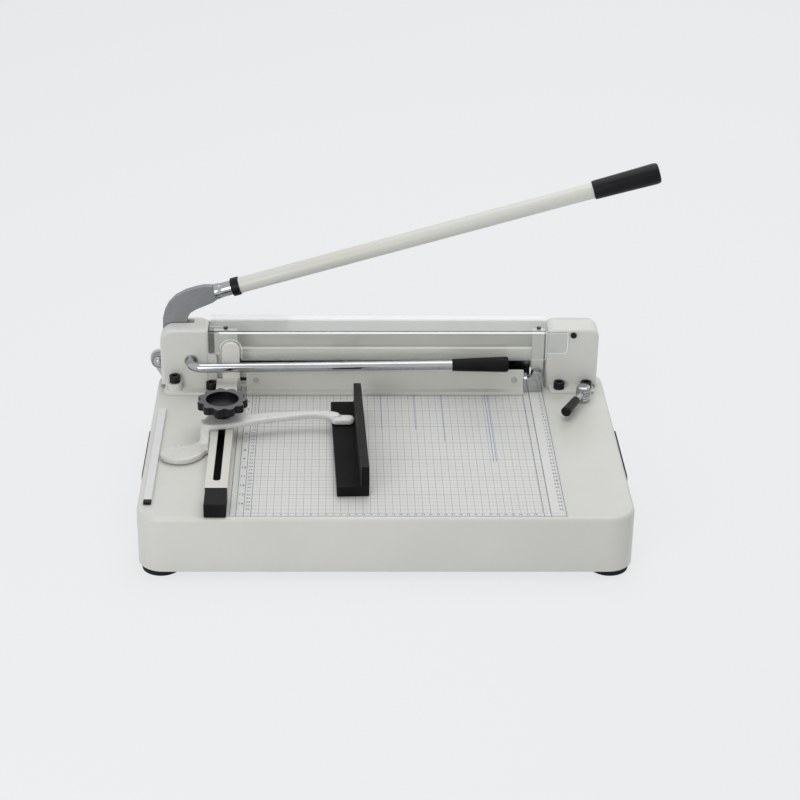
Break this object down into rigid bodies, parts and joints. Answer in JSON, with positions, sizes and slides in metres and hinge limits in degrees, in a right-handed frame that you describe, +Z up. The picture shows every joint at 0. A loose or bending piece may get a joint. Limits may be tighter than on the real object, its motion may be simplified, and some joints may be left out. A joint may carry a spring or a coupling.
{
  "type": "paper cutter",
  "caption": "Manual stack paper cutter: long lever over a table with a squared sheet, a lever-worked clamp bar, a clear knife guard and a sliding side gauge.",
  "frame": {"origin": "middle of the whole machine's box, level with the underside of the feet", "axes": "+X along the knife from the lever's pivot towards its grip, +Y from the front edge to the back, +Z up"},
  "size_m": [0.7502, 0.455, 0.4376],
  "materials": {
    "painted_shell": "semi-gloss cream enamel with a fine orange peel",
    "pale_paint": "semi-gloss pale cream enamel",
    "black_plastic": "matt black moulded",
    "black_rubber": "matt black",
    "black_steel": "blackened steel, satin",
    "plated_steel": "bright plated",
    "machined_steel": "satin machined steel",
    "knife_steel": "dark ground tool steel",
    "printed_sheet": "off-white film with a printed centimetre grid",
    "white_plastic": "off-white plastic strip",
    "natural_plastic": "undyed off-white plastic",
    "clear_plastic": "clear acrylic sheet, grey tint"
  },
  "bodies": {
    "base": {"base_shell": "painted_shell", "bottom_plate": "machined_steel", "foot_front_left": "black_rubber", "foot_front_right": "black_rubber", "foot_rear_left": "black_rubber", "foot_rear_right": "black_rubber", "carry_grip_left": "black_plastic", "carry_grip_right": "black_plastic", "grid_sheet": "printed_sheet", "side_strip": "white_plastic", "side_strip_plug": "black_plastic", "cutting_stick": "natural_plastic", "left_cover": "painted_shell", "left_cover_boss_bolt": "black_steel", "left_cover_bolt": "black_steel", "right_cover": "painted_shell", "right_cover_bolt_inner": "black_steel", "right_cover_bolt_outer": "black_steel", "right_cover_screw": "black_steel", "left_frame_plate": "painted_shell", "right_frame_plate": "painted_shell", "cross_beam": "painted_shell", "fulcrum_pin": "plated_steel", "link_pin": "plated_steel", "guide_post_left": "pale_paint", "guide_post_right": "pale_paint", "guard": "clear_plastic", "guard_screw_left": "black_steel", "guard_screw_right": "black_steel", "clamp_shaft_bush": "machined_steel", "rail_cap": "black_plastic", "side_rail": "pale_paint", "rail_upright": "pale_paint"},
    "lever": {"lever_arm": "machined_steel", "lever_socket": "plated_steel", "lever_collar": "black_plastic", "lever_tube": "pale_paint", "lever_grip": "black_plastic", "crank_pin": "plated_steel"},
    "knife": {"knife_beam": "pale_paint", "knife_blade": "knife_steel", "knife_bolt_left": "black_steel", "knife_bolt_middle": "black_steel", "knife_bolt_right": "black_steel", "beam_pin": "plated_steel"},
    "link": {"side_link": "machined_steel"},
    "clamp": {"clamp_bar": "painted_shell", "clamp_screw_left": "plated_steel", "clamp_screw_right": "plated_steel", "clamp_shoe_right": "plated_steel", "lift_bracket": "painted_shell"},
    "clamp_lever": {"clamp_lever_rod": "plated_steel", "clamp_lever_grip": "black_plastic", "clamp_crank": "machined_steel"},
    "gauge": {"gauge_nut": "plated_steel", "gauge_arm": "pale_paint", "gauge_block": "black_plastic"},
    "knob": {"gauge_knob": "black_plastic"},
    "lock": {"lock_lever": "plated_steel", "lock_lever_grip": "black_plastic"}
  },
  "joints": [
    {"name": "lever_pivot", "type": "hinge", "parent": "base", "child": "lever", "pos_m": [-0.36214, 0.1963, 0.124], "axis": [0, -1, 0], "range_deg": [-7, 55]},
    {"name": "knife_pivot", "type": "hinge", "parent": "lever", "child": "knife", "pos_m": [-0.32014, 0.1963, 0.124], "axis": [0, -1, 0], "range_deg": [-55, 7]},
    {"name": "link_pivot", "type": "hinge", "parent": "base", "child": "link", "pos_m": [0.22886, 0.1963, 0.124], "axis": [0, -1, 0], "range_deg": [-7, 55]},
    {"name": "clamp_lever_turn", "type": "hinge", "parent": "base", "child": "clamp_lever", "pos_m": [-0.31064, 0.1635, 0.1383], "axis": [0, -1, 0], "range_deg": [0, 90]},
    {"name": "clamp_slide", "type": "slide", "parent": "base", "child": "clamp", "axis": [0, 0, 1], "range_m": [0, 0.0383]},
    {"name": "gauge_slide", "type": "slide", "parent": "base", "child": "gauge", "axis": [0, 1, 0], "range_m": [-0.168, 0.042]},
    {"name": "gauge_knob_turn", "type": "hinge", "parent": "gauge", "child": "knob", "pos_m": [-0.25664, 0.0145, 0.132], "axis": [0, 0, 1], "continuous": true},
    {"name": "lock_lever_turn", "type": "hinge", "parent": "base", "child": "lock", "pos_m": [0.27036, 0.1225, 0.0933], "axis": [0, 0, 1], "range_deg": [-45, 90]}
  ],
  "couplings": [
    {"joint": "knife_pivot", "follows": "lever_pivot", "ratio": -1},
    {"joint": "link_pivot", "follows": "lever_pivot", "ratio": 1},
    {"joint": "clamp_slide", "follows": "clamp_lever_turn", "m_per_rad": 0.02431}
  ]
}
